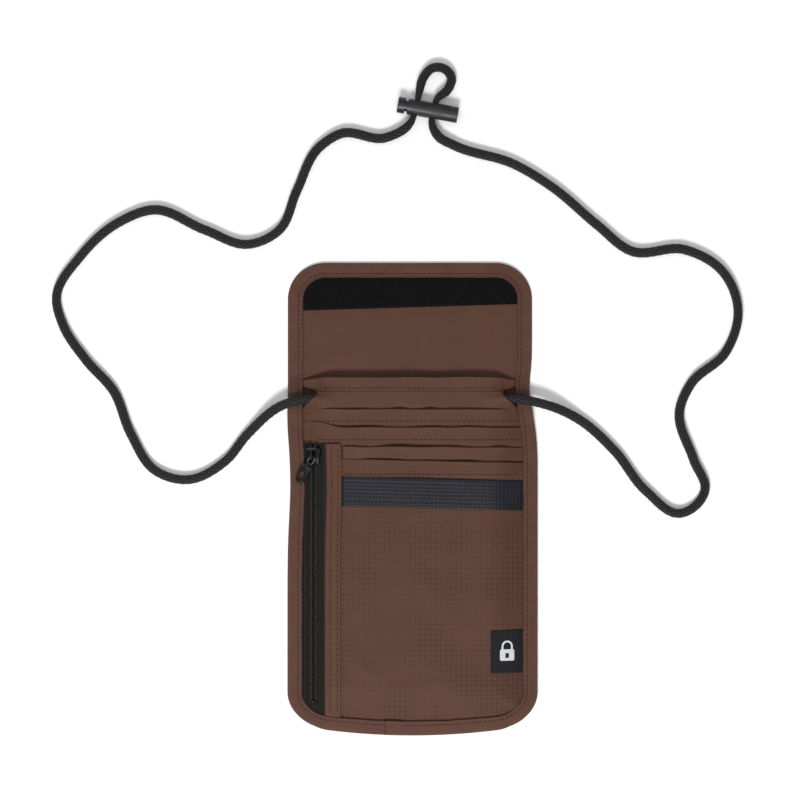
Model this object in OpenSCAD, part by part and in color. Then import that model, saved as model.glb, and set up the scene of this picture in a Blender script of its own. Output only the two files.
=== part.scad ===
// Neck pouch wallet, laid open on its back.
// +X is to the right, +Y towards the end of the flap, +Z out of the pocket side.
// The origin is the middle of the open pouch's footprint, on the surface it lies on.

/* [Pouch] */
// Width of the body across its binding
body_w = 135; // [130:1:145]
// Width of the flap across its binding
flap_w = 132; // [128:1:145]
// Length of the pouch laid open, flap included
open_len = 255; // [250:1:262]
// Length of the flap beyond its fold
flap_len = 70; // [66:1:74]
// Corner radius at the closed end of the body
body_r = 22; // [16:1:26]
// Corner radius at the free end of the flap
flap_r = 20; // [14:1:24]
// How far the pockets stand up above their seams
bulge_h = 5; // [4.5:0.1:5.5]
// Width of the sloping sides of the pockets
slope_w = 14; // [13:1:16]

/* [Binding] */
// Visible width of the edge binding
bind_w = 8; // [7:0.5:9]
// Thickness of the binding tape
bind_t = 0.4; // [0.3:0.1:0.5]
// Depth to which the panels reach into the binding
seam_in = 4; // [3:0.5:5]

/* [Fastening] */
// Width of the hook tape and of the loop tape
tape_w = 16.8; // [14:0.1:18]
// Thickness of either tape with its pile
tape_t = 1.2; // [1:0.1:1.3]
// Distance from the fold to the near edge of either tape
tape_from_fold = 45.6; // [44:0.1:46]

/* [Zip] */
// Middle of the zip across the pouch
zip_x = -53; // [-53.5:0.1:-52.5]
// Top end of the zip along the pouch
zip_top = 30; // [28:0.5:30]
// Bottom end of the coil along the pouch
zip_bottom = -108; // [-108:1:-90]
// Length of the slider
slider_len = 9.2; // [8:0.1:9.6]
// Width of the slider
slider_w = 8.8; // [8:0.1:9.2]
// Angle at which the pull tab lies, from the zip's own line
pull_angle = 32; // [20:1:35]
// Length of the pull tab beyond its eye
pull_len = 12.2; // [10:0.1:12.6]
// Width of the pull tab
pull_w = 5.2; // [4:0.1:5.6]

/* [Neck cord] */
// Diameter of the neck cord
cord_d = 5; // [4:0.1:5]
// Diameter of the cord where the lock grips it
gripped_d = 3.3; // [3:0.1:3.4]

/* [Cord lock] */
// Diameter of the barrel
barrel_d = 8.6; // [8.4:0.1:10]
// Length of the barrel
barrel_len = 27.4; // [26:0.1:30]
// Travel of the button
press_travel = 1.3; // [1:0.1:1.4]

/* [Hidden] */
$fn = 64;

fabric = "#6b4c42";
lining_c = "#5c4137";
tape_c = "#2a2827";
metal = "#3d3f44";
black = "#1e1e1f";

// Lengthwise places
end_y = open_len / 2;
fold_y = end_y - flap_len;
fold_strip_len = 12;
flap_y = fold_y + fold_strip_len;
notch_y = 50.9;
panel_edge = [65.9, 48.6, 38.9, 28.1, 21.1];
hem_low = [57.2, 40, 30.2, 21.6, 12.2];
tongue_w = 82;
front_x = -38.6;

// Heights of the flat layers of the back and the flap
back_z = [bind_t, bind_t + 0.4];
liner_z = [bind_t + 0.4, bind_t + 0.6];
lining_z = [bind_t + 0.6, bind_t + 1];
liner_in = bind_w + 0.6;

// Heights of the front layers above the shape that the pockets bulge to
main_t = [1.5, 1.85];
card_1_t = [1.95, 2.3];
card_2_t = [2.4, 2.75];
card_3_t = [2.85, 3.2];
front_t = [3.3, 3.7];
hook_t = [front_t[1], front_t[1] + tape_t];
zip_t = [3.75, 4.05];
placket_t = [4.1, 4.5];
label_t = [3.75, 4.15];
hem_t = 0.4;
body_bind_h = 5.45;
flap_bind_h = 1.95;
pull_gap = 0.1;

// The fold turns about a line at half the thickness of the closed pouch
loop_top = lining_z[1] + tape_t;
fold_z = (bulge_h + hook_t[1] + pull_gap + loop_top) / 2;

// Zip: the slope it lies on and the half gap between its two rows
slope_a = atan(bulge_h / slope_w);
seam_x = body_w / 2 - bind_w - 0.5;
seam_y = -end_y + bind_w + 1.5;
zip_z = (seam_x + zip_x) * bulge_h / slope_w + (zip_t[0] + zip_t[1]) / 2;
row_in = 0.65;
row_out = 2.1;
row_low = 0.15;
row_high = 1.62;
stop_len = 1.5;
slider_y = zip_top - 2 - slider_len / 2;
coil_top = zip_top - 1.95;

// Slider, in its own frame: x across the zip, y along it, z off the tape
plate_low = [-0.95, -0.3];
plate_high = [1.75, 2.55];
crown_leg_r = 0.6;
crown_front_y = -1.6;
crown_back_y = 2.8;
crown_high = [4.1, 4.7];
link_z = 3.5;
link_r = 0.4;
link_back = -1.3;
link_front = 2.6;
link_half = 1.5;
eye_r = 0.9;
eye_half = 0.95;
tab_t = 1.1;
tab_slot_r = 1.6;
tab_slot_len = 2.4;

// Cord lock, in its own frame: x along the barrel from its open end
lock_pos = [-2.6, 211.7, barrel_d / 2];
lock_turn = -10;
hole_x = [4.7, 14.2];
hole_r = 2.4;
bore_r = 3.1;
grip_reach = 6.5;
rod_r = 3;
rod_len = 18;
end_wall = 1.6;
button_len = 4;
button_gap = 1.4;
spring_r = 2.3;
wire_r = 0.3;
spring_turns = 5;

function lock_point(x, y) = lock_pos + [
    x * cos(lock_turn) - y * sin(lock_turn),
    x * sin(lock_turn) + y * cos(lock_turn),
    0
];

// Route of the neck cord, chosen by hand, from one side seam round to the other
cord_route = [
    [-40, 54, 3.8], [-57, 54, 8.1], [-68, 51.5, 8.1], [-89, 35, 2.8], [-101, 20.5, 2.5],
    [-122, 10.5, 2.5], [-138, 15, 2.5], [-152, 35.5, 2.5], [-161, 58, 2.5], [-176, 75, 2.5],
    [-188.5, 94, 2.5], [-192, 108, 2.5], [-179, 131, 2.5], [-158, 149.5, 2.5], [-140, 156, 2.5],
    [-112, 145.2, 2.5], [-88, 137.5, 2.5], [-72, 145, 2.5], [-62.5, 166, 2.5], [-50, 190, 2.5],
    [-39, 197, 2.5], [-14, 195, 2.8], [-1, 203, 4.1], [2, 211, 4.3], [3.5, 219, 4.1],
    [6.3, 228, 3], [11, 232.5, 2.7], [17.2, 232, 2.7], [21, 227, 2.9], [19, 220.8, 3.5],
    [13.2, 215.5, 4.2], [11.4, 209.3, 4.3], [10.4, 202.5, 4.1], [14, 195.5, 3.4], [22, 191, 2.7],
    [55, 180.5, 2.5], [75, 168.5, 2.5], [100, 147.5, 2.5], [118, 133.8, 2.5], [147, 134.5, 2.5],
    [167, 123, 2.5], [175.5, 102, 2.5], [169, 79.5, 2.5], [150, 62, 2.5], [144, 48, 2.5],
    [151.5, 21.5, 2.5], [157.5, 4, 2.5], [145, -7.5, 2.5], [126, 4.3, 2.5], [109, 26, 2.5],
    [89, 43.5, 2.8], [68, 52, 8.1], [57, 54, 8.1], [40, 54, 3.8]
];
cord_sides = 10;
cord_steps = 2;

// Direction of the curve at point i: that of the circle through it and its two neighbours
function unit(v) = v / norm(v);
function aim(p, i) =
    i == 0 ? unit(p[1] - p[0]) :
    i == len(p) - 1 ? unit(p[i] - p[i - 1]) :
    let (before = p[i] - p[i - 1], after = p[i + 1] - p[i])
    unit(unit(before) * norm(after) + unit(after) * norm(before));

// A point of the smooth curve, at the share s of the way from point i to the next
function along(p, i, s) =
    let (length = norm(p[i + 1] - p[i]))
    p[i] * (2 * s ^ 3 - 3 * s ^ 2 + 1) + p[i + 1] * (3 * s ^ 2 - 2 * s ^ 3)
    + length * (aim(p, i) * (s ^ 3 - 2 * s ^ 2 + s) + aim(p, i + 1) * (s ^ 3 - s ^ 2));

// No lower than the surface that the cord lies on
function lifted(p) = [p[0], p[1], max(p[2], cord_d / 2)];

function smooth_route(p, steps) = concat(
    [for (i = [0:len(p) - 2]) for (k = [0:steps - 1]) lifted(along(p, i, k / steps))],
    [p[len(p) - 1]]
);

function heading(p, i) = let (d = p[min(i + 1, len(p) - 1)] - p[max(i - 1, 0)]) d / norm(d);

function ring(c, t, up, r, sides) =
    let (s = cross(t, up) / norm(cross(t, up)), u = cross(s, t))
    [for (j = [0:sides - 1]) c + r * (cos(360 * j / sides) * s + sin(360 * j / sides) * u)];

// A tube along the points p, with a radius for each of them
module tube(p, radii, up, sides) {
    n = len(p);
    rings = [for (i = [0:n - 1]) each ring(p[i], heading(p, i), up, radii[i], sides)];
    walls = [for (i = [0:n - 2]) for (j = [0:sides - 1])
        let (a = i * sides + j, b = i * sides + (j + 1) % sides)
        each [[a, b, b + sides], [a, b + sides, a + sides]]];
    first = [for (j = [sides - 1:-1:0]) j];
    last = [for (j = [0:sides - 1]) (n - 1) * sides + j];
    polyhedron(points = rings, faces = concat(walls, [first], [last]));
}

// The footprint of the body, drawn in from its edge, between two heights
module body_area(inset, low, high) {
    w = body_w / 2 - inset;
    r = body_r - inset;
    y = -end_y + inset;
    translate([-w, y + r, low]) cube([2 * w, fold_y - y - r, high - low]);
    translate([r - w, y, low]) cube([2 * (w - r), fold_y - y, high - low]);
    for (s = [-1, 1])
        translate([s * (w - r), y + r, low]) cylinder(r = r, h = high - low);
}

// The same for the rigid part of the flap
module flap_area(inset, low, high) {
    w = flap_w / 2 - inset;
    r = flap_r - inset;
    y = end_y - inset;
    translate([-w, flap_y, low]) cube([2 * w, y - r - flap_y, high - low]);
    translate([r - w, flap_y, low]) cube([2 * (w - r), y - flap_y, high - low]);
    for (s = [-1, 1])
        translate([s * (w - r), y - r, low]) cylinder(r = r, h = high - low);
}

// Everything below the bulging shape raised by t, down to a floor
module under(t, floor_z) {
    far = 80;
    end = 140;
    top_x = seam_x - slope_w;
    top_y = seam_y + slope_w;
    intersection() {
        rotate([90, 0, 0]) linear_extrude(height = 2 * end, center = true) polygon([
            [-far, floor_z], [-far, t], [-seam_x, t], [-top_x, t + bulge_h],
            [top_x, t + bulge_h], [seam_x, t], [far, t], [far, floor_z]
        ]);
        rotate([90, 0, 90]) linear_extrude(height = 2 * far, center = true) polygon([
            [-end, floor_z], [-end, t], [seam_y, t], [top_y, t + bulge_h],
            [far, t + bulge_h], [far, floor_z]
        ]);
    }
}

// A sheet that follows the bulge between the heights t[0] and t[1]
module layer(t) {
    difference() {
        under(t[1], -1);
        under(t[0], -2);
    }
}

// The part of a layer over x from x0 to x1 and y from y0 to y1, inside a drawn-in footprint
module piece_of_layer(t, inset, x, y) {
    intersection() {
        layer(t);
        body_area(inset, -3, 20);
        translate([x[0], y[0], -4]) cube([x[1] - x[0], y[1] - y[0], 30]);
    }
}

// A pocket panel: one thickness of cloth with a folded hem along its top edge
module pocket_panel(t, x0, top, hem, hem_x0) {
    piece_of_layer(t, seam_in, [x0, body_w / 2], [-end_y, top]);
    piece_of_layer([t[0], t[1] + hem_t], seam_in, [hem_x0, body_w / 2], [hem, top]);
}

// A channel of binding tape, cut from its outer block by the opening between its legs
module channel() {
    difference() {
        children(0);
        children(1);
        children(2);
    }
}

module back_panel() {
    color(fabric) body_area(seam_in, back_z[0], back_z[1]);
}

module back_rfid_liner() {
    color("silver") body_area(liner_in, liner_z[0], liner_z[1]);
}

module back_lining() {
    color(lining_c) body_area(seam_in, lining_z[0], lining_z[1]);
}

// Front wall of the main pocket. Its hem is narrower than the pouch, so the cord can come out beside it.
module main_pocket_panel() {
    top_z = bulge_h + main_t[0];
    color(fabric) {
        piece_of_layer(main_t, seam_in, [-body_w / 2, body_w / 2], [-end_y, notch_y]);
        translate([-tongue_w / 2, notch_y - 0.5, top_z])
            cube([tongue_w, panel_edge[0] - notch_y + 0.5, main_t[1] - main_t[0]]);
        translate([-tongue_w / 2, hem_low[0], top_z])
            cube([tongue_w, panel_edge[0] - hem_low[0], main_t[1] - main_t[0] + hem_t]);
    }
}

module card_panel_1() {
    color(fabric) pocket_panel(card_1_t, -body_w / 2, panel_edge[1], hem_low[1], -body_w / 2);
}

module card_panel_2() {
    color(fabric) pocket_panel(card_2_t, -body_w / 2, panel_edge[2], hem_low[2], -body_w / 2);
}

module card_panel_3() {
    color(fabric) pocket_panel(card_3_t, front_x, panel_edge[3], hem_low[3], front_x);
}

module front_panel() {
    color(fabric) pocket_panel(front_t, front_x - 7.4, panel_edge[4], hem_low[4], front_x + 0.2);
}

module hook_tape() {
    y = fold_y - tape_from_fold - tape_w;
    color(tape_c)
        piece_of_layer(hook_t, bind_w + 0.2, [front_x + 0.1, body_w / 2], [y, y + tape_w]);
}

module zip_placket() {
    color(fabric)
        piece_of_layer(placket_t, seam_in, [front_x - 8.6, front_x], [-end_y, zip_top]);
}

module zip_tape_left() {
    color(tape_c)
        piece_of_layer(zip_t, seam_in, [-body_w / 2, zip_x - row_in], [-end_y, zip_top]);
}

module zip_tape_right() {
    color(tape_c)
        piece_of_layer(zip_t, seam_in, [zip_x + row_in, front_x - 1.4], [-end_y, zip_top]);
}

// Puts a thing drawn in the zip's own frame onto the slope, y along the pouch
module on_zip(y) {
    translate([zip_x, y, zip_z]) rotate([0, -slope_a, 0]) children();
}

// One row of the coil, side -1 or 1
module coil_row(side) {
    w = row_out - row_in;
    middle = side * (row_in + row_out) / 2;
    crown = row_high - w / 2;
    color(tape_c) on_zip(0) {
        translate([middle - w / 2, zip_bottom, row_low])
            cube([w, coil_top - zip_bottom, crown - row_low]);
        translate([middle, coil_top, crown])
            rotate([90, 0, 0]) cylinder(d = w, h = coil_top - zip_bottom);
    }
}

module zip_coil_left() {
    coil_row(-1);
}

module zip_coil_right() {
    coil_row(1);
}

// A stop clamped on the coil
module stop_block(x0, x1, y) {
    h = row_high - row_low;
    translate([x0, y, row_low]) cube([x1 - x0, stop_len, h]);
}

module zip_top_stops() {
    color(metal) on_zip(coil_top + 0.1) {
        stop_block(-row_out - 0.2, -row_in, 0);
        stop_block(row_in, row_out + 0.2, 0);
    }
}

module zip_bottom_stop() {
    color(metal) on_zip(zip_bottom - stop_len - 0.1) stop_block(-row_out - 0.2, row_out + 0.2, 0);
}

module side_label() {
    color(black)
        piece_of_layer(label_t, bind_w - 1, [41.9, body_w / 2], [-93.4, -69.7]);
}

module body_binding() {
    color(fabric) channel() {
        body_area(0, 0, body_bind_h);
        body_area(bind_w, -1, body_bind_h + 1);
        body_area(bind_t + 0.1, bind_t, body_bind_h - bind_t);
    }
}

// The stretch of back cloth, liner and lining that bends when the flap is closed
module fold_strip() {
    w = flap_w / 2 - seam_in;
    color(fabric)
        translate([-w, fold_y, back_z[0]]) cube([2 * w, fold_strip_len, lining_z[1] - back_z[0]]);
}

// The binding along both ends of that stretch
module fold_binding() {
    color(fabric) for (s = [-1, 1]) scale([s, 1, 1]) difference() {
        translate([flap_w / 2 - bind_w, fold_y, 0]) cube([bind_w, fold_strip_len, flap_bind_h]);
        translate([flap_w / 2 - bind_w - 1, fold_y - 1, bind_t])
            cube([bind_w + 0.5, fold_strip_len + 2, flap_bind_h - 2 * bind_t]);
    }
}

module flap_panel() {
    color(fabric) flap_area(seam_in, back_z[0], back_z[1]);
}

module flap_rfid_liner() {
    color("silver") flap_area(liner_in, liner_z[0], liner_z[1]);
}

module flap_lining() {
    color(lining_c) flap_area(seam_in, lining_z[0], lining_z[1]);
}

module loop_tape() {
    y = fold_y + tape_from_fold;
    color(black) intersection() {
        flap_area(bind_w + 0.2, lining_z[1], loop_top);
        translate([-flap_w, y, 0]) cube([2 * flap_w, tape_w, 10]);
    }
}

module flap_binding() {
    color(fabric) channel() {
        flap_area(0, 0, flap_bind_h);
        flap_area(bind_w, -1, flap_bind_h + 1);
        flap_area(bind_t + 0.1, bind_t, flap_bind_h - bind_t);
    }
}

// The slider: a plate below the tape, one above the coil with its side lips, and the bridge between
module slider_body() {
    w = slider_w / 2;
    l = slider_len / 2;
    lip = 0.9;
    color(metal) on_zip(slider_y) {
        translate([-w + 0.2, -l, plate_low[0]])
            cube([2 * w - 0.4, slider_len, plate_low[1] - plate_low[0]]);
        difference() {
            translate([-w, -l, 0.45]) cube([2 * w, slider_len, plate_high[1] - 0.45]);
            translate([lip - w, -l - 1, 0]) cube([2 * (w - lip), slider_len + 2, plate_high[0]]);
            for (s = [-1, 1]) translate([s * w, -l, 2]) rotate([0, 0, 45]) cube([2.4, 2.4, 8], center = true);
        }
        translate([-0.5, l - 2.4, plate_low[0]]) cube([1, 2.4, plate_high[0] - plate_low[0] + 0.2]);
    }
}

// The crown: two legs and a bar, under which the link is caught
module slider_crown() {
    bar = crown_back_y - crown_front_y;
    color(metal) on_zip(slider_y) {
        for (y = [crown_front_y, crown_back_y])
            translate([0, y, plate_high[1]])
                cylinder(r = crown_leg_r, h = crown_high[1] - plate_high[1]);
        translate([-crown_leg_r, crown_front_y, crown_high[0]])
            cube([2 * crown_leg_r, bar, crown_high[1] - crown_high[0]]);
    }
}

// The link's and the tab's frame: the front leg of the crown, turned to the tab's line, +X along the tab
module on_link() {
    on_zip(slider_y) translate([0, crown_front_y, link_z]) rotate([0, 0, -90 - pull_angle]) children();
}

// A straight length of the link's wire between two corners, with round corners
module wire(a, b) {
    d = b - a;
    turn = atan2(d[1], d[0]);
    translate(a) rotate([0, 0, turn]) rotate([0, 90, 0]) cylinder(r = link_r, h = norm(d));
    translate(a) sphere(r = link_r);
}

module pull_link() {
    c = [
        [link_back, -link_half, 0], [link_front, -link_half, 0],
        [link_front, link_half, 0], [link_back, link_half, 0]
    ];
    color(metal) on_link() for (i = [0:3]) wire(c[i], c[(i + 1) % 4]);
}

// The tab: an eye rolled round the link, a neck, and a plate with a round end and a slot
module pull_tab() {
    neck = link_front + eye_r - 0.2;
    wide = link_front + 1.5;
    end = link_front + pull_len - pull_w / 2;
    color(metal) on_link() difference() {
        union() {
            translate([link_front, eye_half, 0]) rotate([90, 0, 0])
                cylinder(r = eye_r, h = 2 * eye_half);
            translate([neck, -eye_half, -tab_t / 2]) cube([wide - neck + 0.5, 2 * eye_half, tab_t]);
            translate([wide, -pull_w / 2, -tab_t / 2]) cube([end - wide, pull_w, tab_t]);
            translate([end, 0, -tab_t / 2]) cylinder(d = pull_w, h = tab_t);
        }
        translate([link_front, eye_half + 1, 0]) rotate([90, 0, 0])
            cylinder(r = link_r + 0.1, h = 2 * eye_half + 2);
        for (x = [end - tab_slot_len, end])
            translate([x, 0, -tab_t]) cylinder(r = tab_slot_r, h = 2 * tab_t);
        translate([end - tab_slot_len, -tab_slot_r, -tab_t])
            cube([tab_slot_len, 2 * tab_slot_r, 2 * tab_t]);
    }
}

// The cord is thinner where the lock grips it and where it is sewn into the side seams
module neck_cord() {
    path = smooth_route(cord_route, cord_steps);
    holes = [for (x = hole_x) lock_point(x, 0)];
    radii = [for (p = path)
        let (gap = min(norm(p - holes[0]), norm(p - holes[1])))
        gap < grip_reach ? gripped_d / 2 : abs(p[0]) < 44 && p[1] < 60 ? cord_d / 2 - 0.3 : cord_d / 2];
    color(black) tube(path, radii, [0, 0, 1], cord_sides);
}

// Puts a thing drawn in the lock's own frame where the lock lies
module on_lock() {
    translate(lock_pos) rotate([0, 0, lock_turn]) children();
}

// A round bar along the lock's own x axis
module bar(x, r, length) {
    translate([x, 0, 0]) rotate([0, 90, 0]) cylinder(r = r, h = length);
}

module lock_barrel() {
    color(black) on_lock() difference() {
        bar(0, barrel_d / 2, barrel_len);
        bar(-1, bore_r, barrel_len - end_wall + 1);
        for (x = hole_x)
            translate([x, 0, 0]) rotate([90, 0, 0]) cylinder(r = hole_r, h = 2 * barrel_d, center = true);
    }
}

// The button and its rod, with two slots that the cord passes through
module lock_plunger() {
    slot = gripped_d / 2 + 0.4;
    color(black) on_lock() difference() {
        union() {
            bar(-button_gap - button_len, barrel_d / 2, button_len);
            bar(-button_gap - 0.5, rod_r, rod_len + button_gap + 0.5);
        }
        for (x = hole_x) {
            for (dx = [0, press_travel])
                translate([x - dx, 0, 0]) rotate([90, 0, 0])
                    cylinder(r = slot, h = 4 * rod_r, center = true);
            translate([x - press_travel, -2 * rod_r, -slot]) cube([press_travel, 4 * rod_r, 2 * slot]);
        }
    }
}

module lock_spring() {
    low = rod_len + wire_r + 0.1;
    high = barrel_len - end_wall - wire_r - 0.1;
    steps = spring_turns * 12;
    path = [for (i = [0:steps])
        [low + (high - low) * i / steps, spring_r * cos(30 * i), spring_r * sin(30 * i)]];
    color("silver") on_lock() tube(path, [for (p = path) wire_r], [1, 0, 0], 6);
}

back_panel();
back_rfid_liner();
back_lining();
main_pocket_panel();
card_panel_1();
card_panel_2();
card_panel_3();
front_panel();
hook_tape();
zip_placket();
zip_tape_left();
zip_tape_right();
zip_coil_left();
zip_coil_right();
zip_top_stops();
zip_bottom_stop();
side_label();
body_binding();
fold_strip();
fold_binding();
flap_panel();
flap_rfid_liner();
flap_lining();
loop_tape();
flap_binding();
slider_body();
slider_crown();
pull_link();
pull_tab();
neck_cord();
lock_barrel();
lock_plunger();
lock_spring();
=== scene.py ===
"""A neck pouch wallet laid open on a pale floor.

Lengths are in millimetres until a mesh is made. Cord, camera and lights are in metres.
"""

import math
import bmesh
import bpy
import numpy as np
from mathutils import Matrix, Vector


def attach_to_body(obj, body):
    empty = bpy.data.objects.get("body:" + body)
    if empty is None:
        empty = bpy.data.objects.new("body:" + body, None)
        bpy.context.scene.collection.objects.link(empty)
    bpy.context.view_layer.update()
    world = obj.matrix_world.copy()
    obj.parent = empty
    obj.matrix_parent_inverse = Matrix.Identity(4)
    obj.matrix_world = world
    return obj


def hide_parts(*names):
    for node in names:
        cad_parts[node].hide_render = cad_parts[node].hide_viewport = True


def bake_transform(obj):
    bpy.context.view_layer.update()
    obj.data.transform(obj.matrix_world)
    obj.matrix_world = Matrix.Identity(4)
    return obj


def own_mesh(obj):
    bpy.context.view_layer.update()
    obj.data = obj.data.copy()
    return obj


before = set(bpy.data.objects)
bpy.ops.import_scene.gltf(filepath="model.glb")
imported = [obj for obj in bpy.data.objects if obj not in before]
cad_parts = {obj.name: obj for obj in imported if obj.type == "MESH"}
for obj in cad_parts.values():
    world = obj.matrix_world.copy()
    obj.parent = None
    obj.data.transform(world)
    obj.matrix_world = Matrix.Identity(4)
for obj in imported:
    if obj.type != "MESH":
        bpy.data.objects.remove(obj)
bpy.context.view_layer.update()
MM = 0.001

# ---- sizes, as the CAD has them or within 0.1 mm of that
BODY_X = 67.5
FLAP_X = 66.0
END_Y = 127.5
FOLD_Y = END_Y - 70
FLAP_Y = FOLD_Y + 12
BODY_R = 22.0
FLAP_R = 20.0
BIND_W = 8.0
SEAM_IN = 4.0
BULGE = 5.0
SLOPE = 14.0
SEAM_X = BODY_X - BIND_W - 0.5
SEAM_Y = -END_Y + BIND_W + 1.5
FRONT_X = -38.6
PLACKET_X = -47.2
PANEL_X = BODY_X - SEAM_IN
PANEL_LOW = -END_Y + SEAM_IN
MAIN, CARD_1, CARD_2, CARD_3, FRONT = range(5)
PANEL_EDGE = (65.9, 48.6, 38.9, 28.1, 21.1)
HEM_LOW = (57.3, 40.0, 30.2, 21.6, 12.2)
SLIT_LOW = 48.8
ZIP_X = -53.0
ZIP_Z = 6.043
ZIP_TOP = 30.0
ZIP_LOW = -108.0
ZIP_A = math.atan(BULGE / SLOPE)
SLIDER_Y = 23.4
TAPE_LOW = -4.9
TAPE_W = 16.7
LOOP_LOW = 103.5
LOCK = np.array([-2.6, 211.7, 4.3])
LOCK_TURN = math.radians(-10)
LOCK_HOLES = (4.7, 14.2)
CORD_R = 2.5

# Heights above the bulge at which the outermost pieces lie
ZIP_TAPE_UP = (3.76, 4.04)
PLACKET_UP = 4.08
TAPE_UP = 3.72
LABEL_UP = 3.76

# Sizes of what is only drawn here
KNEE_Y = -92.0
NARROW_Y = 30.0
PLACKET_SEAMS = (-44.3, -40.5)
TAPE_SLANT = -0.022
STITCH_IN = 5.75
STITCH_STEP = 2.5
LOOP_COUNT = 1700
BINDING_JOINT_X = -14.9
BRAID_STARTS = 4.0
BRAID_PITCH = 7.2
BRAID_SIDES = 40
CUT_UNIT = 100.0


# ---- small maths
def ease(t):
    """0 below 0, 1 above 1, smooth between."""
    t = np.clip(t, 0, 1)
    return t * t * (3 - 2 * t)


def bell(t):
    return np.exp(-t * t)


def grid(across, down):
    return np.meshgrid(across, down, indexing="ij")


def unit(v):
    return v / np.linalg.norm(v, axis=-1, keepdims=True)


def distances(path):
    """How far along a path each of its points is."""
    return np.concatenate([[0], np.cumsum(np.linalg.norm(np.diff(path, axis=0), axis=1))])


def points_at(path, s, spots):
    """The points of a path, whose distances are s, at other distances."""
    return np.stack([np.interp(spots, s, path[:, k]) for k in range(path.shape[1])], -1)


def even(path, step):
    """The path again, with points an even distance apart, and the distance of each along it."""
    d = distances(path)
    s = np.linspace(0, d[-1], int(round(d[-1] / step)) + 1)
    return points_at(path, d, s), s


def waves(count, low, high, height, seed):
    """A set of plane waves of mixed lengths, for soft unevenness in cloth."""
    rng = np.random.default_rng(seed)
    length = rng.uniform(low, high, count)
    turn = rng.uniform(0, math.pi, count)
    return np.stack([
        2 * math.pi * np.cos(turn) / length,
        2 * math.pi * np.sin(turn) / length,
        rng.uniform(0, 2 * math.pi, count),
        height * length / high / math.sqrt(count),
    ], 1)


def ripple(x, y, set_of_waves):
    return sum(a * np.sin(kx * x + ky * y + p) for kx, ky, p, a in set_of_waves)


LINE_WAVES = {k: waves(6, 9, 38, 1.0, k) for k in range(1, 12)}
BROAD = waves(9, 34, 80, 0.55, 3)
FINE = waves(16, 10, 26, 0.16, 4)
FLAP_WAVES = waves(8, 40, 95, 0.4, 5)
PILE_WAVES = waves(20, 1.6, 5, 1.6, 9)


def along_line(x, k):
    """Smooth unevenness along a line, from about -1 to 1, a different one for each k."""
    return ripple(x, 0 * x, LINE_WAVES[k] * np.array([1, 0, 1, 1.6]))


def rounded_step(m, r=0.2, top=0.4):
    """Clamps m to 0..1 with the two corners rounded."""
    low = np.where(m < r, (np.maximum(m, -r) + r) ** 2 / (4 * r), m)
    return np.where(m > 1 - top, 1 - (top + 1 - np.minimum(m, 1 + top)) ** 2 / (4 * top), low)


# ---- shape of the laid pouch
def bulge(x, y):
    """Height to which the pockets stand up above their seams."""
    return BULGE * rounded_step(np.minimum((SEAM_X - np.abs(x)) / SLOPE, (y - SEAM_Y) / SLOPE))


def to_edge(x, y):
    """Distance from the body's outer edge, inwards."""
    qx = np.abs(x) - (BODY_X - BODY_R)
    qy = -y - (END_Y - BODY_R)
    corner = BODY_R - np.hypot(np.maximum(qx, 0), np.maximum(qy, 0))
    return np.where((qx > 0) | (qy > 0), corner, BODY_R + np.minimum(-qx, -qy))


def pinch(x, y):
    """Share of their height that the layers keep where the binding grips them."""
    return 0.74 + 0.26 * ease((to_edge(x, y) - 3.5) / 4.5)


def crinkle(x, y):
    """Unevenness that all the front layers share; none where the zip and the hook tape lie."""
    off_zip = ease((x + 37) / 8)
    off_tape = 1 - ease((y + 9) / 4) * (1 - ease((y - 12) / 4))
    inside = rounded_step(bulge(x, y) / BULGE)
    soft = ripple(x, y, BROAD) + ripple(x, y, FINE)
    rise = 0.95 * bell((y + 24) / 13) * ease((x + 44) / 22) * ease((62 - x) / 20)
    wrinkle = 0.75 * bell(((y + 90) + 0.62 * (x + 28)) / 4.2) * bell((x + 27) / 13)
    fold = -0.6 * bell(((y + 100) - 0.25 * (x + 20)) / 5) * bell((x + 15) / 24)
    seam = 0.34 * np.sin(y / 1.18 + 2 * np.sin(y / 9)) * np.exp(-np.abs(58.6 - x) / 4.2)
    placket = 0.3 * np.sin(y / 1.3 + 1.5 * np.sin(y / 7)) * np.exp(-np.abs(x - FRONT_X) / 3.6)
    return off_zip * off_tape * inside * (soft + rise + wrinkle + fold + seam + placket)


def settle(x, y):
    """Where a point of the flat cut lies: the sewn outline isn't quite straight."""
    low = ease((KNEE_Y - y) / 34)
    lift = low * 2.9 * np.clip(np.abs(x) / 46, 0, 1.15) ** 2
    right = -1.5 * ease((y - 18) / 34) - 1.3 * bell((y - 60) / 11)
    left = -1.3 * ease((y - 26) / 26) + 1.5 * bell((y - 8) / 26)
    share = ease((np.abs(x) - 20) / 47)
    return x + share * np.where(x > 0, right, left), y + lift


def laid(x, y, z):
    """Points of the flat cut at height z, where they lie in the sewn pouch."""
    x, y, z = np.broadcast_arrays(x, y, z)
    return np.stack([*settle(x, y), z], -1)


# The top edges of the front panels, and the slits that gape behind them
def edge_main(x):
    return PANEL_EDGE[MAIN] + 0.14 * along_line(x, 1) - 1.7 * ease((np.abs(x) - 44) / 16)


def edge_card_1(x):
    return PANEL_EDGE[CARD_1] + 0.12 * along_line(x, 2)


def edge_card_2(x):
    curl = 3.2 * ease((-37 - x) / 15)
    free = PANEL_EDGE[CARD_2] + 0.2 * along_line(x, 3) + curl
    return np.where(x < -53.6, ZIP_TOP + 1, free)


def edge_card_3(x):
    return PANEL_EDGE[CARD_3] + 0.25 - 0.008 * x + 0.22 * along_line(x, 4)


def edge_front(x):
    return PANEL_EDGE[FRONT] - 0.1 - 0.02 * x + 0.12 * along_line(x, 5)


def slit(x, k):
    return 0.75 + 0.5 * np.maximum(along_line(x, k), -0.9)


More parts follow.
